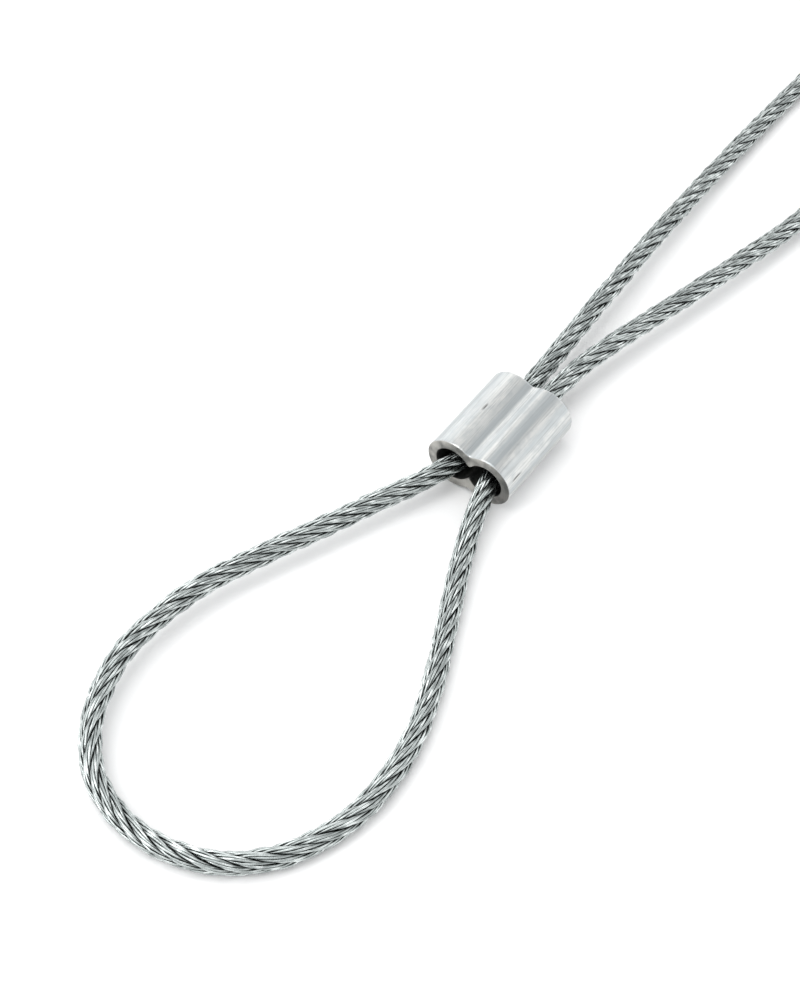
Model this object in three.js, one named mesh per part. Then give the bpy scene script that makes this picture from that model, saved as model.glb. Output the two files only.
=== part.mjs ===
// Wire rope sling: a loop of galvanised wire rope whose two ends are crimped side by side in a
// closing ferrule. A second, loose double-barrel ferrule slides along the doubled rope and
// gathers its other end into an eye.
//
// Millimetres, +Z up, standing on z = 0. +X runs along the sling from the tip of the eye to the
// closing ferrule. The left leg is on the +Y side. Lengths along X in this file are measured
// from the tip of the eye; the finished group is moved so that the origin is midway along it.

import * as THREE from 'three';

// ---- driving dimensions ------------------------------------------------------------------

const ropeDiameter = 2.6;
const ropeRadius = ropeDiameter / 2;
const ropeSides = 8;
const ropeStep = 2.3 * ropeDiameter; // length of one straight facet of a rope tube
const overallLength = 224.6; // outside of the eye to the cut rope ends

// Slide ferrule, an uncrimped double-barrel sleeve with sawn ends
const slideLength = 13.4;
const slideHeight = 6.9;
const slideWidth = 11.3;
const slideWall = 1.2;
const slideStart = 56.5; // its eye end
const slideCentreY = -0.9;

// Closing ferrule, the same kind of sleeve after it is crimped on the rope
const closingLength = 14;
const closingHeight = 6;
const closingWidth = 9.8;
const closingStart = 207.5;
const closingCentreY = -3;
const closingBore = 1.6; // radius of each barrel
const closingSpacing = 2.9; // between the two rope ends
const crimpDepth = 0.13; // share of the height that a crimp takes away
const crimpCentres = [3, 7, 11];
const crimpFlat = 0.8; // length of a crimp's floor
const crimpRamp = 0.6; // length of each side of a crimp
const endChamfer = 0.5;
const endTaper = 0.07; // share of the height that the rounded ends lose

// Places where the right leg turns as the slide ferrule is pushed along it
const innerTurn = 78;
const outerTurn = 106;
const turnGap = 0.7; // left between the tubes so that they can turn
const seamGap = 0.3; // left between tubes that only meet
const openEnd = 208.6; // the right leg ends just inside the closing ferrule
const endStubStart = 210.2;

// ---- route of the rope's centre line ----------------------------------------------------
// Each point is [x, y, z]. The legs leave the floor gently to pass through the ferrules, and the
// stiff rope holds the left side of the eye a little off the floor.

const leftLeg = [
  [223.3, -1.55, 3.0], [216, -1.55, 3.0], [209, -1.55, 3.0], [202, -1.35, 2.7],
  [192, -0.75, 1.9], [180, -0.05, 1.35], [166, 0.7, 1.3], [152, 1.6, 1.3],
  [138, 2.3, 1.3], [127, 2.5, 1.6], [116, 2.4, 2.2], [106, 2.15, 2.75],
  [97, 1.85, 3.0], [89, 1.6, 3.05], [81, 1.25, 3.05], [74, 0.95, 3.0],
];
const leftThroughSlide = [
  [68, 0.85, 3.0], [62.5, 1.0, 3.0], [57.5, 1.4, 3.0], [52.7, 3.0, 3.0], [46.7, 5.6, 3.05],
];
const leftOfEye = [
  [40, 8.4, 3.1], [33, 11.5, 3.1], [26.6, 14, 3.05], [20.7, 15.2, 2.95], [15.3, 15.4, 2.8],
  [10.1, 14.2, 2.55], [5.6, 11.8, 2.2], [2.3, 8.4, 1.8], [0.5, 4.2, 1.5],
];
const eyeTip = [0, 0, 1.3];
const rightOfEye = [
  [0.6, -4.3, 1.3], [2.5, -8.6, 1.3], [5.9, -12.3, 1.3], [10.6, -14.9, 1.3], [16, -16.2, 1.3],
  [21.5, -16.1, 1.3], [27.5, -14.9, 1.3], [34, -12.4, 1.3], [41, -9.25, 1.35],
];
const rightThroughSlide = [
  [47.5, -6.4, 1.7], [53, -4.45, 2.4], [57.5, -3.35, 3.0], [62.5, -2.55, 3.2], [68, -2.1, 3.4],
];
const rightLeg = [
  [74, -2.15, 3.45], [80, -2.85, 3.4], [88, -4.65, 3.25], [97, -6.95, 3.05], [106, -9.0, 2.7],
  [116, -10.95, 2.1], [127, -12.3, 1.55], [139, -12.75, 1.3], [152, -12.1, 1.3],
  [166, -10.2, 1.3], [180, -7.6, 1.35], [192, -5.9, 1.9], [202, -4.75, 2.7],
  [209, -4.45, 3.0], [216, -4.45, 3.0], [223.3, -4.45, 3.0],
];

const routePoints = [
  ...leftLeg, ...leftThroughSlide, ...leftOfEye, eyeTip, ...rightOfEye, ...rightThroughSlide,
  ...rightLeg,
];
const rope = new THREE.CatmullRomCurve3(
  routePoints.map(([x, y, z]) => new THREE.Vector3(x, y, z)), false, 'centripetal',
);
rope.arcLengthDivisions = 2000;

// A part of the rope between two fractions of its length
class Stretch extends THREE.Curve {
  constructor(from, to) {
    super();
    this.from = from;
    this.to = to;
  }

  getPoint(t, target = new THREE.Vector3()) {
    return rope.getPointAt(THREE.MathUtils.lerp(this.from, this.to, t), target);
  }
}

const ropeLength = rope.getLength();

// Fraction of the rope's length where one leg passes a given x. Along the left leg x falls
// with the fraction, and along the right leg it grows.
function fractionAt(x, leg) {
  let [low, high] = leg === 'left' ? [0, 0.5] : [0.5, 1];
  for (let halving = 0; halving < 40; halving += 1) {
    const middle = (low + high) / 2;
    const beyond = rope.getPointAt(middle).x > x;
    const raiseLow = leg === 'left' ? beyond : !beyond;
    if (raiseLow) low = middle;
    else high = middle;
  }
  return (low + high) / 2;
}

// ---- materials ---------------------------------------------------------------------------

const galvanisedSteel = new THREE.MeshStandardMaterial({
  color: 0x9aa3a1, roughness: 0.38, metalness: 1,
});
const satinAluminium = new THREE.MeshStandardMaterial({
  color: 0xdadddd, roughness: 0.32, metalness: 1,
});
const pressedAluminium = new THREE.MeshStandardMaterial({
  color: 0xcfd2d2, roughness: 0.4, metalness: 1,
});

// ---- pieces ------------------------------------------------------------------------------

function ropeTube(name, from, to) {
  const section = new THREE.Shape();
  for (let side = 0; side < ropeSides; side += 1) {
    const angle = ((side + 0.5) / ropeSides) * 2 * Math.PI;
    const corner = [ropeRadius * Math.cos(angle), ropeRadius * Math.sin(angle)];
    if (side === 0) section.moveTo(...corner);
    else section.lineTo(...corner);
  }
  section.closePath();
  const steps = Math.ceil(((to - from) * ropeLength) / ropeStep);
  const geometry = new THREE.ExtrudeGeometry(section, {
    steps, bevelEnabled: false, extrudePath: new Stretch(from, to),
  });
  const tube = new THREE.Mesh(geometry, galvanisedSteel);
  tube.name = name;
  return tube;
}

// Outline of two barrels side by side. Each barrel's arc runs to leaveAngle either side of its
// outermost point, and a curve tangent to both arcs joins them over the middle.
function doubleBarrel(path, radius, halfSpacing, leaveAngle) {
  const leaveX = halfSpacing + radius * Math.cos(leaveAngle);
  const leaveY = radius * Math.sin(leaveAngle);
  const valley = leaveY + (leaveX * Math.cos(leaveAngle)) / Math.sin(leaveAngle);
  path.moveTo(leaveX, -leaveY);
  path.absarc(halfSpacing, 0, radius, -leaveAngle, leaveAngle, false);
  path.quadraticCurveTo(0, valley, -leaveX, leaveY);
  path.absarc(-halfSpacing, 0, radius, Math.PI - leaveAngle, Math.PI + leaveAngle, false);
  path.quadraticCurveTo(0, -valley, leaveX, -leaveY);
  return path;
}

// Turns a section drawn in x and y and extruded along z so that it lies along +X, upright
function layAlongX(geometry) {
  const along = new THREE.Matrix4().makeBasis(
    new THREE.Vector3(0, 1, 0), new THREE.Vector3(0, 0, 1), new THREE.Vector3(1, 0, 0),
  );
  return geometry.applyMatrix4(along);
}

function slideFerrule() {
  const outerRadius = slideHeight / 2;
  const halfSpacing = slideWidth / 2 - outerRadius;
  const shallowGroove = THREE.MathUtils.degToRad(115);
  const deepCusp = THREE.MathUtils.degToRad(145);
  const section = doubleBarrel(new THREE.Shape(), outerRadius, halfSpacing, shallowGroove);
  section.holes.push(
    doubleBarrel(new THREE.Path(), outerRadius - slideWall, halfSpacing, deepCusp),
  );
  const geometry = new THREE.ExtrudeGeometry(section, {
    depth: slideLength, steps: 1, bevelEnabled: false, curveSegments: 12,
  });
  const ferrule = new THREE.Mesh(layAlongX(geometry), satinAluminium);
  ferrule.position.set(slideStart, slideCentreY, outerRadius);
  ferrule.name = 'slide_ferrule';
  return ferrule;
}

// Places along the closing ferrule where its height changes, as [distance, share of height]
function crimpStations() {
  const stations = [[0, 1 - endTaper], [endChamfer, 1]];
  for (const centre of crimpCentres) {
    const halfFlat = crimpFlat / 2;
    stations.push([centre - halfFlat - crimpRamp, 1], [centre - halfFlat, 1 - crimpDepth]);
    stations.push([centre + halfFlat, 1 - crimpDepth], [centre + halfFlat + crimpRamp, 1]);
  }
  stations.push([closingLength - endChamfer, 1], [closingLength, 1 - endTaper]);
  return stations;
}

function closingFerrule() {
  const outerRadius = closingHeight / 2;
  const stations = crimpStations();
  const steps = stations.length - 1;
  const section = doubleBarrel(
    new THREE.Shape(), outerRadius, closingWidth / 2 - outerRadius, Math.PI / 2,
  );
  const cusp = THREE.MathUtils.degToRad(145);
  section.holes.push(doubleBarrel(new THREE.Path(), closingBore, closingSpacing / 2, cusp));
  const geometry = new THREE.ExtrudeGeometry(section, {
    depth: steps, steps, bevelEnabled: false, curveSegments: 8,
  });
  const corners = geometry.attributes.position;
  for (let index = 0; index < corners.count; index += 1) {
    const [distance, share] = stations[Math.round(corners.getZ(index))];
    const height = corners.getY(index);
    const isOutside = Math.abs(height) > closingBore;
    corners.setY(index, isOutside ? height * share : height);
    corners.setZ(index, distance);
  }
  const ferrule = new THREE.Mesh(layAlongX(geometry), pressedAluminium);
  ferrule.position.set(closingStart, closingCentreY, outerRadius);
  ferrule.name = 'closing_ferrule';
  return ferrule;
}

// ---- assembly ----------------------------------------------------------------------------

const sling = new THREE.Group();
sling.position.x = ropeRadius - overallLength / 2;
sling.add(
  ropeTube('left_leg_rope', 0, fractionAt(innerTurn + seamGap / 2, 'left')),
  ropeTube('eye_rope', fractionAt(innerTurn - seamGap / 2, 'left'),
    fractionAt(innerTurn - turnGap / 2, 'right')),
  ropeTube('right_leg_inner_rope', fractionAt(innerTurn + turnGap / 2, 'right'),
    fractionAt(outerTurn - turnGap / 2, 'right')),
  ropeTube('right_leg_outer_rope', fractionAt(outerTurn + turnGap / 2, 'right'),
    fractionAt(openEnd, 'right')),
  ropeTube('right_leg_end_rope', fractionAt(endStubStart, 'right'), 1),
  slideFerrule(),
  closingFerrule(),
);

export default sling;
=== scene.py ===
"""Wire rope sling: 7 by 7 galvanised rope laid wire by wire, a loose double-barrel ferrule that
slides along both legs, and a crimped closing ferrule. Metres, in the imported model's frame."""

import math

import bpy
import numpy as np
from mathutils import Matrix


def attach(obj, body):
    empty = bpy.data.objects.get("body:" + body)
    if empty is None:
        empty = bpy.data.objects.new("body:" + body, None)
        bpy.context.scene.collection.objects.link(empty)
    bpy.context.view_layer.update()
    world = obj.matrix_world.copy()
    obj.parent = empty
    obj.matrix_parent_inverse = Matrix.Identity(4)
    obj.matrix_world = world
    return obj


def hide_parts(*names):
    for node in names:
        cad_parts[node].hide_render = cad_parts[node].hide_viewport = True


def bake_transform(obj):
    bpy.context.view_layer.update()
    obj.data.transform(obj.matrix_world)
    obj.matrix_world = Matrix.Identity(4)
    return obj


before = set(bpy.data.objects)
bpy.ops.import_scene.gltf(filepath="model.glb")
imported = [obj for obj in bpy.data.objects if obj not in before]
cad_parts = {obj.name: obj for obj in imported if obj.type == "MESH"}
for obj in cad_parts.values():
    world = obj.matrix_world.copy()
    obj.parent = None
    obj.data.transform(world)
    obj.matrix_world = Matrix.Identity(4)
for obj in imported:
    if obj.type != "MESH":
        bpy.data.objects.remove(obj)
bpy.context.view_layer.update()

MM = 0.001
TIP_X = -111.0  # where the tip of the eye's centre line is along X, in millimetres

# ---- camera ---------------------------------------------------------------------------------

AIM = (-0.0611, 0.00408, 0.0015)
AIM_DISTANCE = 0.2022
ELEVATION = math.radians(51.5)
HEADING = math.radians(54.25)  # from +Y towards +X
LENS_MM = 63.08
SENSOR_MM = 36
NEAREST = 0.01


def add_camera():
    camera = bpy.data.objects.new("camera", bpy.data.cameras.new("camera"))
    bpy.context.collection.objects.link(camera)
    level = math.cos(ELEVATION) * AIM_DISTANCE
    camera.location = (
        AIM[0] - level * math.sin(HEADING),
        AIM[1] - level * math.cos(HEADING),
        AIM[2] + math.sin(ELEVATION) * AIM_DISTANCE,
    )
    camera.rotation_euler = (math.pi / 2 - ELEVATION, 0, -HEADING)
    camera.data.lens = LENS_MM
    camera.data.sensor_width = SENSOR_MM
    camera.data.clip_start = NEAREST
    bpy.context.scene.camera = camera


add_camera()

# ---- route of the rope ----------------------------------------------------------------------
# The points of part.mjs: [x, y, z] in millimetres, x from the tip of the eye. They were chosen one
# by one, apart from LEFT_OF_EYE and the last two of LEFT_THROUGH_SLIDE. Those had been chosen
# nearer the floor, and a solver moved them along the line of sight up to the heights given here.

LEFT_LEG = [
    [223.3, -1.55, 3.0], [216, -1.55, 3.0], [209, -1.55, 3.0], [202, -1.35, 2.7],
    [192, -0.75, 1.9], [180, -0.05, 1.35], [166, 0.7, 1.3], [152, 1.6, 1.3],
    [138, 2.3, 1.3], [127, 2.5, 1.6], [116, 2.4, 2.2], [106, 2.15, 2.75],
    [97, 1.85, 3.0], [89, 1.6, 3.05], [81, 1.25, 3.05], [74, 0.95, 3.0],
]
LEFT_THROUGH_SLIDE = [
    [68, 0.85, 3.0], [62.5, 1.0, 3.0], [57.5, 1.4, 3.0], [52.7, 3.0, 3.0], [46.7, 5.6, 3.05],
]
LEFT_OF_EYE = [
    [40, 8.4, 3.1], [33, 11.5, 3.1], [26.6, 14, 3.05], [20.7, 15.2, 2.95], [15.3, 15.4, 2.8],
    [10.1, 14.2, 2.55], [5.6, 11.8, 2.2], [2.3, 8.4, 1.8], [0.5, 4.2, 1.5],
]
EYE_TIP = [0, 0, 1.3]
RIGHT_OF_EYE = [
    [0.6, -4.3, 1.3], [2.5, -8.6, 1.3], [5.9, -12.3, 1.3], [10.6, -14.9, 1.3],
    [16, -16.2, 1.3], [21.5, -16.1, 1.3], [27.5, -14.9, 1.3], [34, -12.4, 1.3],
    [41, -9.25, 1.35],
]
RIGHT_THROUGH_SLIDE = [
    [47.5, -6.4, 1.7], [53, -4.45, 2.4], [57.5, -3.35, 3.0], [62.5, -2.55, 3.2],
    [68, -2.1, 3.4],
]
RIGHT_LEG = [
    [74, -2.15, 3.45], [80, -2.85, 3.4], [88, -4.65, 3.25], [97, -6.95, 3.05],
    [106, -9.0, 2.7], [116, -10.95, 2.1], [127, -12.3, 1.55], [139, -12.75, 1.3],
    [152, -12.1, 1.3], [166, -10.2, 1.3], [180, -7.6, 1.35], [192, -5.9, 1.9],
    [202, -4.75, 2.7], [209, -4.45, 3.0], [216, -4.45, 3.0], [223.3, -4.45, 3.0],
]
ROUTE = np.array(
    LEFT_LEG + LEFT_THROUGH_SLIDE + LEFT_OF_EYE + [EYE_TIP] + RIGHT_OF_EYE
    + RIGHT_THROUGH_SLIDE + RIGHT_LEG, float,
)

# Construction of the rope: six strands round a core strand, each of six wires round a core wire,
# right-hand ordinary lay. Lengths in millimetres.
STRANDS = 7
WIRES = 7
ROPE_DIAMETER = 2.6
STRAND_PITCH = ROPE_DIAMETER / 3  # radius on which the outer strands lie
WIRE_PITCH = ROPE_DIAMETER / 9  # radius on which a strand's outer wires lie
WIRE_RADIUS = 0.134
ROPE_LAY = 16.0
WIRE_LAY = 6.3  # turn of the wires relative to their strand's own turn
WANDER = 0.04  # how far a wire strays from its perfect helix
WANDER_LENGTH = 9.0  # wave of its straying outwards
SWING_LENGTH = 5.4  # wave of its straying sideways
WIRE_SHIFT = 60.0  # sets the painted glint dashes on one wire apart from the next wire's
RING_STEP = 0.75  # between the rings of a wire's tube
OUTER_SIDES = 6
INNER_SIDES = 4  # core wires are hardly seen
FINE_STEP = 0.1  # between the points of the rope's centre line
SPAN_STEPS = 60  # steps of the curve between two chosen points

random = np.random.default_rng(7)
WIRE_TONE = random.random((STRANDS, WIRES))
WANDER_PHASE = random.random((STRANDS, WIRES, 2))


def unit(vectors):
    return vectors / np.linalg.norm(vectors, axis=-1, keepdims=True)


def centripetal_curve(points, steps):
    """A centripetal Catmull-Rom curve through the points, as many short straight steps."""
    before = 2 * points[0] - points[1]
    after = 2 * points[-1] - points[-2]
    padded = np.vstack([before, points, after])
    gap = np.linalg.norm(np.diff(padded, axis=0), axis=1, keepdims=True) ** 0.5
    share = np.linspace(0, 1, steps, endpoint=False)[:, None]
    curve = []
    for p0, p1, p2, p3, d0, d1, d2 in zip(
        padded, padded[1:], padded[2:], padded[3:], gap, gap[1:], gap[2:]
    ):
        leave = ((p1 - p0) / d0 - (p2 - p0) / (d0 + d1) + (p2 - p1) / d1) * d1
        arrive = ((p2 - p1) / d1 - (p3 - p1) / (d1 + d2) + (p3 - p2) / d2) * d1
        square = 3 * (p2 - p1) - 2 * leave - arrive
        cube = 2 * (p1 - p2) + leave + arrive
        curve.append(p1 + leave * share + square * share**2 + cube * share**3)
    return np.vstack(curve + [points[-1:]])


def distances(line):
    """Distance along a line of points, at each of them."""
    lengths = np.linalg.norm(np.diff(line, axis=0), axis=1)
    return np.concatenate([[0], np.cumsum(lengths)])


def untwisted_normals(tangents):
    """A normal at each point of a line that turns with the line and never about it."""
    normals = [np.array([0.0, 0.0, 1.0])]
    for tangent in tangents:
        normals.append(unit(normals[-1] - normals[-1].dot(tangent) * tangent))
    return np.array(normals[1:])


rough_line = centripetal_curve(ROUTE, SPAN_STEPS)
rough_at = distances(rough_line)
ROPE_LENGTH = rough_at[-1]
LINE_AT = np.linspace(0, ROPE_LENGTH, round(ROPE_LENGTH / FINE_STEP) + 1)
LINE = np.stack([np.interp(LINE_AT, rough_at, rough_line[:, k]) for k in range(3)], axis=1)
TANGENTS = unit(np.gradient(LINE, axis=0))
NORMALS = untwisted_normals(TANGENTS)
TIP_AT = LINE_AT[LINE[:, 0].argmin()]


def along_line(values, at):
    """Values that are known along the rope's centre line, at some distances along it."""
    return np.stack([np.interp(at, LINE_AT, values[:, k]) for k in range(3)], axis=1)


def at_x(x, leg):
    """Distance along the rope at which one leg passes x."""
    on_leg = LINE_AT <= TIP_AT if leg == "left" else LINE_AT >= TIP_AT
    order = np.argsort(LINE[on_leg, 0])
    return float(np.interp(x, LINE[on_leg, 0][order], LINE_AT[on_leg][order]))


def place(points):
    """Millimetres from the tip of the eye, as metres in the part's frame."""
    return (np.asarray(points) + [TIP_X, 0, 0]) * MM


# ---- meshes ---------------------------------------------------------------------------------


def wire_centre(at, strand, wire):
    """A wire's centre line and the direction from its strand's middle to it. Strand 0 is the
    core strand and wire 0 is a strand's core wire, whose direction is the strand's own."""
    at = np.clip(at, 0, ROPE_LENGTH)
    centre = along_line(LINE, at)
    tangent = unit(along_line(TANGENTS, at))
    normal = along_line(NORMALS, at)
    normal = unit(normal - (normal * tangent).sum(1, keepdims=True) * tangent)
    side = np.cross(tangent, normal)
    turn = 2 * math.pi * (at / ROPE_LAY + strand / (STRANDS - 1))[:, None]
    outward = np.cos(turn) * normal + np.sin(turn) * side
    around = np.cos(turn) * side - np.sin(turn) * normal
    pitch = STRAND_PITCH if strand else 0
    middle = centre + pitch * outward
    if wire == 0:
        return middle, outward
    strand_tangent = unit(tangent + (2 * math.pi * pitch / ROPE_LAY) * around)
    across = np.cross(strand_tangent, outward)
    first, second = WANDER_PHASE[strand, wire]
    stray = WANDER * np.sin(2 * math.pi * (at / WANDER_LENGTH + first))[:, None]
    swing = WANDER * np.sin(2 * math.pi * (at / SWING_LENGTH + second))[:, None]
    wire_turn = -2 * math.pi * (at / WIRE_LAY + wire / (WIRES - 1))[:, None]
    wire_turn += swing / WIRE_PITCH
    away = np.cos(wire_turn) * outward + np.sin(wire_turn) * across
    return middle + (WIRE_PITCH + stray) * away, away


def tube(centres, tangents, reference, radius, sides):
    """Ring corners of a tube, one ring for each centre."""
    out = unit(reference - (reference * tangents).sum(1, keepdims=True) * tangents)
    side = np.cross(tangents, out)
    angle = np.linspace(0, 2 * math.pi, sides, endpoint=False)[None, :, None]
    around = np.cos(angle) * out[:, None] + np.sin(angle) * side[:, None]
    return centres[:, None] + radius * around


def tube_faces(rings, sides, first):
    """Side faces and the two end caps of a tube whose corners start at index first."""
    corner = first + np.arange(rings * sides).reshape(rings, sides)
    turned = np.roll(corner, -1, axis=1)
    quads = np.stack([corner[:-1], turned[:-1], turned[1:], corner[1:]], axis=-1)
    return quads.reshape(-1, 4).tolist(), [corner[0, ::-1].tolist(), corner[-1].tolist()]


def add_mesh(name, points, faces, smooth):
    """A mesh whose flat faces have sharp edges, so that they don't bend the shading beside them."""
    mesh = bpy.data.meshes.new(name)
    mesh.from_pydata(points.tolist(), [], faces)
    mesh.polygons.foreach_set("use_smooth", smooth)
    for index in np.flatnonzero(~np.array(smooth, bool)):
        for loop in mesh.polygons[int(index)].loop_indices:
            mesh.edges[mesh.loops[loop].edge_index].use_edge_sharp = True
    mesh.update()
    piece = bpy.data.objects.new(name, mesh)
    bpy.context.collection.objects.link(piece)
    return piece


def wire_tube(at, axis, strand, wire):
    """Ring corners of one wire's tube, and the values that its material needs at each corner."""
    sides = OUTER_SIDES if strand and wire else INNER_SIDES
    centres, away = wire_centre(at, strand, wire)
    ahead, _ = wire_centre(at + FINE_STEP, strand, wire)
    behind, _ = wire_centre(at - FINE_STEP, strand, wire)
    corners = tube(centres, unit(ahead - behind), away, WIRE_RADIUS, sides)
    outward = corners - axis[:, None]
    facing = ((corners - centres[:, None]) * unit(outward)).sum(axis=2)
    values = {
        "wire_tone": np.full(len(at) * sides, WIRE_TONE[strand, wire]),
        "crown": np.linalg.norm(outward, axis=2).ravel() / (ROPE_DIAMETER / 2),
        "crest": facing.ravel() / WIRE_RADIUS,
        "along_wire": np.repeat(at + WIRE_SHIFT * (WIRES * strand + wire), sides),
    }
    return corners, values


def rope_stretch(name, start, end):
    """All the wires of the rope between two distances along it, as one mesh, and its path."""
    rings = math.ceil((end - start) / RING_STEP) + 1
    at = np.linspace(start, end, rings)
    axis = along_line(LINE, at)
    points, faces, smooth, values = [], [], [], []
    count = 0
    for strand in range(STRANDS):
        for wire in range(WIRES):
            corners, wire_values = wire_tube(at, axis, strand, wire)
            sides = corners.shape[1]
            walls, caps = tube_faces(rings, sides, count)
            faces += walls + caps
            smooth += [True] * len(walls) + [False] * len(caps)
            points.append(corners.reshape(-1, 3))
            values.append(wire_values)
            count += rings * sides
    piece = add_mesh(name, place(np.vstack(points)), faces, smooth)
    for attribute in values[0]:
        joined = np.concatenate([wire_values[attribute] for wire_values in values])
        piece.data.attributes.new(attribute, "FLOAT", "POINT").data.foreach_set("value", joined)
    path = [tuple(point) for point in place(axis)]
    return piece, path


# ---- materials ------------------------------------------------------------------------------


class Nodes:
    """A material's node tree with one shader, and short ways to add to it."""

    def __init__(self, name):
        self.material = bpy.data.materials.new(name)
        self.material.use_nodes = True
        self.tree = self.material.node_tree
        self.shader = self.tree.nodes["Principled BSDF"]

    def add(self, kind, inputs=None, **settings):
        node = self.tree.nodes.new(kind)
        for key, value in settings.items():
            setattr(node, key, value)
        for key, value in (inputs or {}).items():
            self.feed(value, node.inputs[key])
        return node

    def feed(self, value, socket):
        if isinstance(value, bpy.types.NodeSocket):
            self.tree.links.new(value, socket)
        else:
            socket.default_value = value

    def scaled(self, scale=(1, 1, 1)):
        """Object coordinates, scaled. A small scale along X draws a pattern out along X."""
        where = self.add("ShaderNodeTexCoord").outputs["Object"]
        mapping = self.add("ShaderNodeMapping", {"Vector": where, "Scale": scale})
        return mapping.outputs["Vector"]

    def noise(self, where, scale, detail):
        node = self.add(
            "ShaderNodeTexNoise", {"Vector": where, "Scale": scale, "Detail": detail}
        )
        return node.outputs["Fac"]

    def remap(self, value, low, high, to_low, to_high):
        """From to_low to to_high as the value goes from low to high, and constant beyond."""
        inputs = {
            "Value": value, "From Min": low, "From Max": high,
            "To Min": to_low, "To Max": to_high,
        }
        return self.add("ShaderNodeMapRange", inputs).outputs["Result"]

    def mix(self, share, first, second):
        """From the first colour to the second one. Sockets 6 and 7 are the two colours."""
        node = self.add("ShaderNodeMix", {0: share, 6: first, 7: second}, data_type="RGBA")
        return node.outputs[2]

    def attribute(self, name):
        return self.add("ShaderNodeAttribute", attribute_name=name).outputs["Fac"]

    def add_up(self, first, second):
        node = self.add("ShaderNodeMath", {0: first, 1: second}, operation="ADD")
        return node.outputs[0]

    def bump(self, height, distance):
        bump = self.add("ShaderNodeBump", {"Height": height, "Distance": distance})
        self.feed(bump.outputs["Normal"], self.shader.inputs["Normal"])

    def finish(self, colour, roughness, metallic=1.0):
        self.feed(colour, self.shader.inputs["Base Color"])
        self.feed(roughness, self.shader.inputs["Roughness"])
        self.feed(metallic, self.shader.inputs["Metallic"])
        return self.material


# Zinc from one wire to the next and in patches, painted glints and painted shade in dashes along
# each wire, painted shade between the wires and dirt with painted shade between the strands
DARK_WIRE = (0.36, 0.39, 0.386, 1)
LIGHT_WIRE = (0.55, 0.59, 0.58, 1)
PAINTED_DARK_DASH = (0.2, 0.218, 0.215, 1)
PAINTED_GLINT = (0.84, 0.88, 0.87, 1)
ZINC_PATCH = (0.24, 0.265, 0.26, 1)
PAINTED_SHADE_BETWEEN_WIRES = (0.085, 0.095, 0.094, 1)
DIRT_AND_SHADE_BETWEEN_STRANDS = (0.045, 0.051, 0.05, 1)


def galvanised_wire():
    """Zinc-coated wire, with painted glints and dark dashes of painted shade along each wire,
    painted shade between the wires, and dirt with painted shade between the strands. Its crest is 1
    where a wire faces out of the rope and -1 where it faces in, and its crown is 1 on the rope's
    outside and 0 on its axis."""
    nodes = Nodes("galvanised_wire")
    where = nodes.scaled()
    tone = nodes.attribute("wire_tone")
    crown = nodes.attribute("crown")
    crest = nodes.attribute("crest")
    along = nodes.attribute("along_wire")
    # Along each wire, bright dashes are painted glints and dark dashes are painted shade between
    # them
    glint_dashes = nodes.add(
        "ShaderNodeTexNoise", {"W": along, "Scale": 0.6, "Detail": 1.0}, noise_dimensions="1D"
    ).outputs["Fac"]
    zinc = nodes.noise(where, 700, 4)
    grain = nodes.noise(where, 5000, 2)
    clean = nodes.mix(tone, DARK_WIRE, LIGHT_WIRE)
    # The dark dashes here are painted shade, the bright ones on the next line painted glints
    dull = nodes.mix(nodes.remap(glint_dashes, 0.5, 0.3, 0, 0.55), clean, PAINTED_DARK_DASH)
    glinted = nodes.mix(nodes.remap(glint_dashes, 0.52, 0.68, 0, 0.7), dull, PAINTED_GLINT)
    patchy = nodes.mix(nodes.remap(zinc, 0.45, 0.7, 0, 0.5), glinted, ZINC_PATCH)
    # Painted shade where a wire faces into the rope, down between its neighbours
    painted_gap_shade = nodes.remap(crest, 0.2, -0.5, 0, 0.75)
    gap_shaded = nodes.mix(painted_gap_shade, patchy, PAINTED_SHADE_BETWEEN_WIRES)
    # Darker towards the rope's axis: dirt and painted shade down between the strands
    dirt_and_shade_in_valley = nodes.remap(crown, 0.84, 0.64, 0, 0.85)
    colour = nodes.mix(dirt_and_shade_in_valley, gap_shaded, DIRT_AND_SHADE_BETWEEN_STRANDS)
    nodes.bump(grain, 0.00001)
    return nodes.finish(colour, nodes.remap(grain, 0.3, 0.7, 0.18, 0.32))


# ---- rope pieces ----------------------------------------------------------------------------
# Each x is in millimetres from the tip of the eye.

JOIN_X = 60  # the eye meets both legs here, inside the slide ferrule
LEG_JOIN_X = 92  # the right leg's two bending stretches meet here
OPEN_END_X = 208.6  # the right leg's moving part ends here, inside the closing ferrule
END_STUB_X = 210.2
CAD_NODES = {
    "rope_left_leg": "left_leg_rope",
    "rope_eye": "eye_rope",
    "rope_right_leg_inner": "right_leg_inner_rope",
    "rope_right_leg_outer": "right_leg_outer_rope",
    "rope_right_leg_end": "right_leg_end_rope",
}

stretches = {
    "rope_left_leg": (0, at_x(JOIN_X, "left")),
    "rope_eye": (at_x(JOIN_X, "left"), at_x(JOIN_X, "right")),
    "rope_right_leg_inner": (at_x(JOIN_X, "right"), at_x(LEG_JOIN_X, "right")),
    "rope_right_leg_outer": (at_x(LEG_JOIN_X, "right"), at_x(OPEN_END_X, "right")),
    "rope_right_leg_end": (at_x(END_STUB_X, "right"), ROPE_LENGTH),
}
wire_material = galvanised_wire()
rope = {}
rope_path = {}
for name, (start, end) in stretches.items():
    rope[name], rope_path[name] = rope_stretch(name, start, end)
    rope[name].data.materials.append(wire_material)


for name in ("rope_left_leg", "rope_eye", "rope_right_leg_end"):
    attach(rope[name], "sling")
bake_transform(rope["rope_right_leg_inner"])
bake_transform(rope["rope_right_leg_outer"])
for name, node in CAD_NODES.items():
    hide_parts(node)

for name, (start, end) in stretches.items():
    if name == "rope_right_leg_end":
        continue

# ---- ferrules -------------------------------------------------------------------------------

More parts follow.
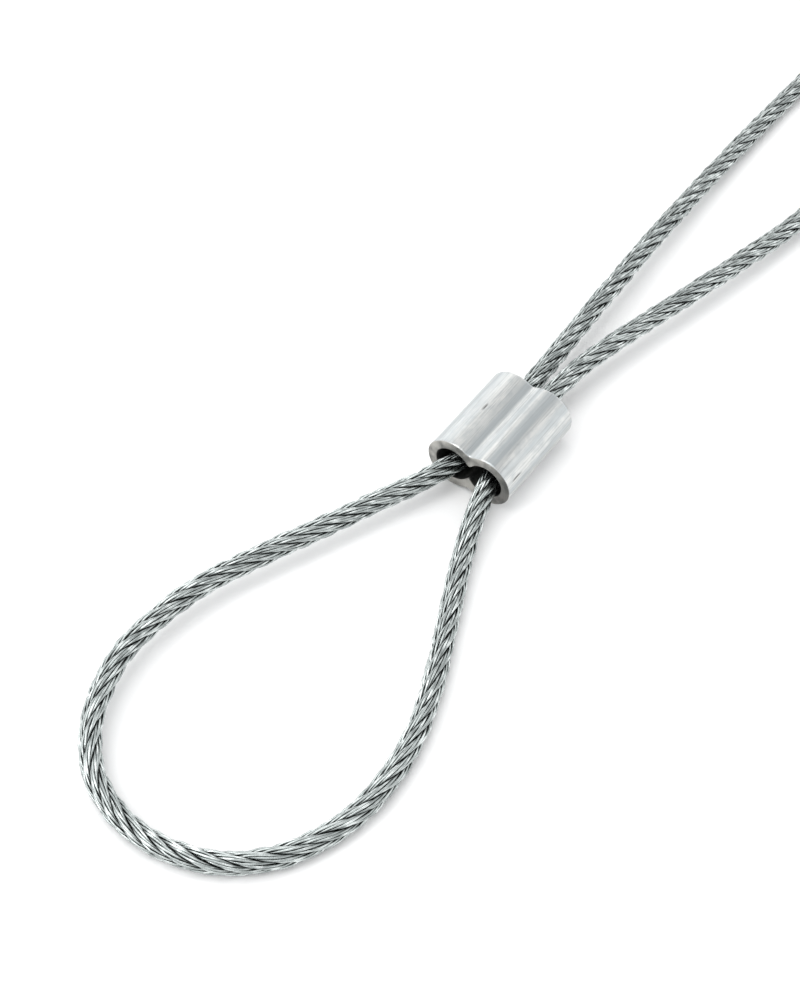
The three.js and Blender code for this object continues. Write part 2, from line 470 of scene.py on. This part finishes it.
SLIDE = {
    "start": 56.5, "centre_y": -0.9, "length": 13.4, "height": 6.9, "width": 11.3,
    "wall": 1.2,
}
CLOSING = {
    "start": 207.5, "centre_y": -3.0, "length": 14.0, "height": 6.0, "width": 9.8,
    "bore": 1.6, "spacing": 2.9,
}
SLIDE_STEP = 0.2  # between the slide ferrule's rings
CLOSING_STEP = 0.15
CRIMP_CENTRES = (3, 7, 11)
CRIMP_DEPTH = 0.13  # share of the height that a crimp takes away
CRIMP_FLAT = 0.8
CRIMP_RAMP = 0.6
EDGE = 0.12  # width of the worn edge round each sawn face
SKIN_SHARE = 0.06  # share of the wall that has the outside's or the bore's finish

# How far round each barrel its arc runs, in degrees from its outermost point, before the curve
# over the middle takes over
GROOVE_LEAVE = 115
CUSP_LEAVE = 145
FLAT_LEAVE = 90
GROOVE_SHARPNESS = 3.0  # how closely the slide ferrule's groove follows its corner
ARC_POINTS = 130
CURVE_POINTS = 36

# Short nicks dented into the slide ferrule and darkened with painted shade. The degrees go round
# its left or right barrel from the top towards +Y.
NICKS = (
    {"barrel": "left", "along": 7.0, "degrees": 6, "half_length": 0.55, "half_width": 0.10},
    {"barrel": "right", "along": 1.8, "degrees": -68, "half_length": 0.75, "half_width": 0.09},
)
NICK_DEPTH = 0.09
DIE_LINE_DEPTH = 0.0035

# The saw has bent the slide ferrule's lip outwards at the eye end. The bend begins at a distance
# to the left of the ferrule's middle and grows to the left, and likewise upwards.
LIP_HEIGHT = 0.1
LIP_LENGTH = 0.3
LIP_FROM_LEFT = 1.2
LIP_GROWS_LEFT = 3
LIP_FROM_UP = -1
LIP_GROWS_UP = 2


def double_barrel(radius, half_spacing, leave_degrees, sharpness=1.0):
    """Outline of two barrels side by side, as [across, up], anticlockwise seen from +X. A
    sharpness above 1 draws the curve that joins them closer to its corner."""
    leave = math.radians(leave_degrees)
    leave_across = half_spacing + radius * math.cos(leave)
    leave_up = radius * math.sin(leave)
    valley = leave_up + leave_across * math.cos(leave) / math.sin(leave)
    angle = np.linspace(-leave, leave, ARC_POINTS, endpoint=False)
    arc = np.stack([half_spacing + radius * np.cos(angle), radius * np.sin(angle)], axis=1)
    share = np.linspace(0, 1, CURVE_POINTS, endpoint=False)[:, None]
    weights = np.hstack([(1 - share) ** 2, 2 * sharpness * share * (1 - share), share**2])
    corners = np.array([[leave_across, leave_up], [0, valley], [-leave_across, leave_up]])
    over = weights @ corners / weights.sum(axis=1, keepdims=True)
    half = np.vstack([arc, over])
    return np.vstack([half, -half])


def sleeve_profile(length, step):
    """Path once round a sleeve's wall, as [distance along it, share of the way inwards]."""
    stations = np.linspace(EDGE, length - EDGE, round(length / step))
    outer_corner = [(0.3 * EDGE, 0.03), (0, 0.1)]
    face = [(0, share) for share in (0.13, 0.26, 0.38, 0.5, 0.62, 0.74, 0.87)]
    inner_corner = [(0, 0.9), (0.3 * EDGE, 0.97)]
    end = outer_corner + face + inner_corner
    outside = [(x, 0.0) for x in stations]
    far_end = [(length - x, share) for x, share in end]
    inside = [(x, 1.0) for x in stations[::-1]]
    return outside + far_end + inside + end[::-1]


def sleeve(name, outer, inner, profile, start, centre_y, centre_z, shape):
    """A closed sleeve whose corners shape() may move: it gets and gives [x, across, up]. Its
    faces are in the first material outside, the second on its ends and the third inside."""
    around = len(outer)
    rings = []
    for x, share in profile:
        section = (1 - share) * outer + share * inner
        ring = np.column_stack([np.full(around, x), section])
        rings.append(shape(ring, x, share))
    points = np.vstack(rings) + [start, centre_y, centre_z]
    corner = np.arange(len(points)).reshape(len(profile), around)
    turned = np.roll(corner, -1, axis=1)
    after = np.roll(corner, -1, axis=0)
    after_turned = np.roll(turned, -1, axis=0)
    faces = np.stack([corner, turned, after_turned, after], axis=-1).reshape(-1, 4)
    piece = add_mesh(name, place(points), faces.tolist(), [True] * len(faces))
    shares = np.array([share for _, share in profile])
    middles = (shares + np.roll(shares, -1)) / 2
    finish = np.where(middles < SKIN_SHARE, 0, np.where(middles < 1 - SKIN_SHARE, 1, 2))
    piece.data.polygons.foreach_set("material_index", np.repeat(finish, around))
    return piece


# Fine lines that the extrusion die leaves, the same all along the sleeve
DIE_LINES = random.normal(0, DIE_LINE_DEPTH, 2 * (ARC_POINTS + CURVE_POINTS))


def nick_depth(x, section, radius, half_spacing):
    """How deep the nicks are at one section of the slide ferrule."""
    depth = np.zeros(len(section))
    for nick in NICKS:
        centre = half_spacing if nick["barrel"] == "left" else -half_spacing
        turn = math.radians(nick["degrees"])
        middle = np.array([centre + radius * math.sin(turn), radius * math.cos(turn)])
        across = np.linalg.norm(section - middle, axis=1) / nick["half_width"]
        along = abs(x - nick["along"]) / nick["half_length"]
        depth += NICK_DEPTH * np.exp(-(across**2)) * math.exp(-(along**4))
    return depth


def shape_slide(ring, x, share):
    """Gives the slide ferrule its die lines, nicks and bent lip."""
    radius = SLIDE["height"] / 2
    half_spacing = SLIDE["width"] / 2 - radius
    outward = unit(ring[:, 1:])
    depth = nick_depth(x, ring[:, 1:], radius, half_spacing) * (1 - share)
    ring[:, 1:] += outward * (DIE_LINES * (1 - share) - depth)[:, None]
    leftwards = np.clip((ring[:, 1] - LIP_FROM_LEFT) / LIP_GROWS_LEFT, 0, 1)
    upwards = np.clip((ring[:, 2] - LIP_FROM_UP) / LIP_GROWS_UP, 0, 1)
    bend = LIP_HEIGHT * math.exp(-x / LIP_LENGTH) * leftwards * upwards
    ring[:, 1:] += outward * bend[:, None]
    return ring


def crimp_share(x):
    """Share of its height that the closing ferrule keeps at x."""
    deepest = 0.0
    for centre in CRIMP_CENTRES:
        past_flat = (abs(x - centre) - CRIMP_FLAT / 2) / CRIMP_RAMP
        ease = min(max(1 - past_flat, 0), 1)
        deepest = max(deepest, CRIMP_DEPTH * ease * ease * (3 - 2 * ease))
    return 1 - deepest


def shape_closing(ring, x, share):
    """Presses the crimps into the closing ferrule's outside and leaves its bores round."""
    ring[:, 2] *= 1 - (1 - crimp_share(x)) * (1 - share)
    return ring


def slide_ferrule():
    radius = SLIDE["height"] / 2
    half_spacing = SLIDE["width"] / 2 - radius
    outer = double_barrel(radius, half_spacing, GROOVE_LEAVE, GROOVE_SHARPNESS)
    inner = double_barrel(radius - SLIDE["wall"], half_spacing, CUSP_LEAVE)
    profile = sleeve_profile(SLIDE["length"], SLIDE_STEP)
    piece = sleeve(
        "slide_ferrule_sleeve", outer, inner, profile,
        SLIDE["start"], SLIDE["centre_y"], radius, shape_slide,
    )
    # How deep each corner is nicked, which sets the painted shade in the nicks
    nick_shading = [(1 - share) * nick_depth(x, outer, radius, half_spacing) for x, share in profile]
    nick = piece.data.attributes.new("nick", "FLOAT", "POINT")
    nick.data.foreach_set("value", np.concatenate(nick_shading) / NICK_DEPTH)
    return piece


def closing_ferrule():
    radius = CLOSING["height"] / 2
    outer = double_barrel(radius, CLOSING["width"] / 2 - radius, FLAT_LEAVE)
    inner = double_barrel(CLOSING["bore"], CLOSING["spacing"] / 2, CUSP_LEAVE)
    profile = sleeve_profile(CLOSING["length"], CLOSING_STEP)
    return sleeve(
        "closing_ferrule_sleeve", outer, inner, profile,
        CLOSING["start"], CLOSING["centre_y"], radius, shape_closing,
    )


SATIN = (0.65, 0.655, 0.64, 1)
SATIN_DULL = (0.45, 0.48, 0.49, 1)
PRESSED = (0.62, 0.62, 0.615, 1)
PRESSED_DULL = (0.47, 0.49, 0.51, 1)
STREAK = (0.3, 0.31, 0.31, 1)
NICK_SHADE = (0.05, 0.05, 0.05, 1)
SAWN = (0.5, 0.49, 0.46, 1)
SAWN_STAIN = (0.22, 0.22, 0.21, 1)
SAWN_DARK = (0.16, 0.16, 0.155, 1)
DARKENS_FROM_Y = -3.5 * MM  # the sawn ends darken to the right from here
DARKEST_FROM_Y = -6.0 * MM
# The bores' two colours are painted shade, the darkest and the palest
BORE_SHADE_DARK = (0.06, 0.06, 0.06, 1)
BORE_SHADE_PALE = (0.2, 0.2, 0.19, 1)


def satin_aluminium(name, colour, dull):
    """Extruded aluminium with broad bands, worn patches and fine streaks, all lengthwise."""
    nodes = Nodes(name)
    streaks = nodes.noise(nodes.scaled((0.03, 1, 1)), 6000, 5)
    bands = nodes.noise(nodes.scaled((0.02, 1, 1)), 900, 2)
    mottle = nodes.noise(nodes.scaled((0.5, 1, 1)), 1300, 5)
    tinted = nodes.mix(nodes.remap(bands, 0.4, 0.65, 0, 1), colour, dull)
    worn = nodes.mix(nodes.remap(mottle, 0.42, 0.7, 0, 0.7), tinted, dull)
    streaked = nodes.mix(nodes.remap(streaks, 0.5, 0.7, 0, 0.5), worn, STREAK)
    # Painted shade in the nicks
    nicked = nodes.mix(nodes.attribute("nick"), streaked, NICK_SHADE)
    nodes.bump(nodes.add_up(streaks, mottle), 0.000015)
    return nodes.finish(nicked, nodes.remap(streaks, 0.3, 0.7, 0.28, 0.42))


def sawn_aluminium():
    """Dull faces with the fine parallel scratches of a saw, stained, and darkest at the right."""
    nodes = Nodes("sawn_aluminium")
    scratches = nodes.noise(nodes.scaled((1, 1, 0.08)), 5000, 4)
    stain = nodes.noise(nodes.scaled(), 450, 4)
    stained = nodes.mix(nodes.remap(stain, 0.4, 0.6, 0, 1), SAWN, SAWN_STAIN)
    split = nodes.add("ShaderNodeSeparateXYZ", {"Vector": nodes.scaled()})
    at_right = nodes.remap(split.outputs["Y"], DARKENS_FROM_Y, DARKEST_FROM_Y, 0, 0.7)
    colour = nodes.mix(at_right, stained, SAWN_DARK)
    nodes.bump(scratches, 0.00004)
    return nodes.finish(colour, nodes.remap(scratches, 0.3, 0.7, 0.45, 0.65))


def bore_aluminium():
    """Insides of the barrels, darkened all over with painted shade, with stains."""
    nodes = Nodes("bore_aluminium")
    stain = nodes.noise(nodes.scaled((0.2, 1, 1)), 1500, 4)
    colour = nodes.mix(stain, BORE_SHADE_DARK, BORE_SHADE_PALE)
    nodes.bump(stain, 0.00002)
    return nodes.finish(colour, nodes.remap(stain, 0.3, 0.7, 0.4, 0.6))


sawn = sawn_aluminium()
bore = bore_aluminium()


def fit_sleeve(piece, skin, body, node):
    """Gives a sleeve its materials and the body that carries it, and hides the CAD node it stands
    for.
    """
    for material in (skin, sawn, bore):
        piece.data.materials.append(material)
    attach(piece, body)
    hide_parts(node)


fit_sleeve(
    slide_ferrule(), satin_aluminium("satin_aluminium", SATIN, SATIN_DULL),
    "slide_ferrule", "slide_ferrule",
)
fit_sleeve(
    closing_ferrule(), satin_aluminium("pressed_aluminium", PRESSED, PRESSED_DULL),
    "sling", "closing_ferrule",
)

# ---- stage ----------------------------------------------------------------------------------

FLOOR_HALF = 1.5
FLOOR_GAP = 0.00005  # keeps the table just clear of the rope
FLOOR_WHITE = (0.92, 0.92, 0.92, 1)
FLOOR_ROUGHNESS = 0.9
TENT_WHITE = (0.99, 0.995, 1.0, 1)
LAMP_DISTANCE = 0.8

# The tent's brightness changes as a direction turns upwards, and as it turns from right to left:
# where the change begins and ends, and the brightness before and after it
TENT_UPWARDS = (0.35, 0.9, 1.45, 0.72)
TENT_LEFTWARDS = (-0.8, 0.7, 0.98, 1.05)

# Each square lamp's direction from the middle of the view, its size and its power
LAMPS = {
    "key": ((-0.1, 0.22, 1.0), 0.68, 3.1),
    "side": ((0.505, 0.61, 0.61), 0.08, 0.06),
    "low_side": ((0.505, 0.845, 0.18), 0.08, 0.06),
    "front": ((-0.9, 0.5, 0.9), 0.14, 0.7),
}


def add_floor():
    corners = np.array([[-1, -1, 0], [1, -1, 0], [1, 1, 0], [-1, 1, 0]]) * FLOOR_HALF
    floor = add_mesh("floor", corners - [0, 0, FLOOR_GAP], [[0, 1, 2, 3]], [False])
    table = Nodes("white_table").finish(FLOOR_WHITE, FLOOR_ROUGHNESS, metallic=0.0)
    floor.data.materials.append(table)


def add_lamp(name, direction, size, power):
    """A square lamp that faces the middle of the view."""
    light = bpy.data.lights.new(name, "AREA")
    light.shape = "SQUARE"
    light.size = size
    light.energy = power
    lamp = bpy.data.objects.new(name, light)
    away = unit(np.array(direction, float))
    lamp.location = np.array(AIM) + away * LAMP_DISTANCE
    lamp.rotation_euler = (
        math.acos(away[2]), 0, math.atan2(away[1], away[0]) + math.pi / 2,
    )
    bpy.context.collection.objects.link(lamp)


def smooth_ramp(tree, value, low, high, first, second):
    """A smooth change from first to second as the value goes from low to high."""
    ramp = tree.nodes.new("ShaderNodeMapRange")
    ramp.interpolation_type = "SMOOTHSTEP"
    tree.links.new(value, ramp.inputs["Value"])
    for socket, number in (
        ("From Min", low), ("From Max", high), ("To Min", first), ("To Max", second),
    ):
        ramp.inputs[socket].default_value = number
    return ramp.outputs["Result"]


def set_world():
    """A white tent that is darker overhead and a little darker on the -Y side."""
    world = bpy.data.worlds.new("studio")
    world.use_nodes = True
    tree = world.node_tree
    direction = tree.nodes.new("ShaderNodeTexCoord").outputs["Generated"]
    split = tree.nodes.new("ShaderNodeSeparateXYZ")
    tree.links.new(direction, split.inputs[0])
    strength = tree.nodes.new("ShaderNodeMath")
    strength.operation = "MULTIPLY"
    upwards = smooth_ramp(tree, split.outputs["Z"], *TENT_UPWARDS)
    leftwards = smooth_ramp(tree, split.outputs["Y"], *TENT_LEFTWARDS)
    tree.links.new(upwards, strength.inputs[0])
    tree.links.new(leftwards, strength.inputs[1])
    background = tree.nodes["Background"]
    tree.links.new(strength.outputs[0], background.inputs["Strength"])
    background.inputs["Color"].default_value = TENT_WHITE
    bpy.context.scene.world = world


add_floor()
set_world()
for name, (direction, size, power) in LAMPS.items():
    add_lamp(name, direction, size, power)
bpy.context.scene.view_settings.view_transform = "Standard"
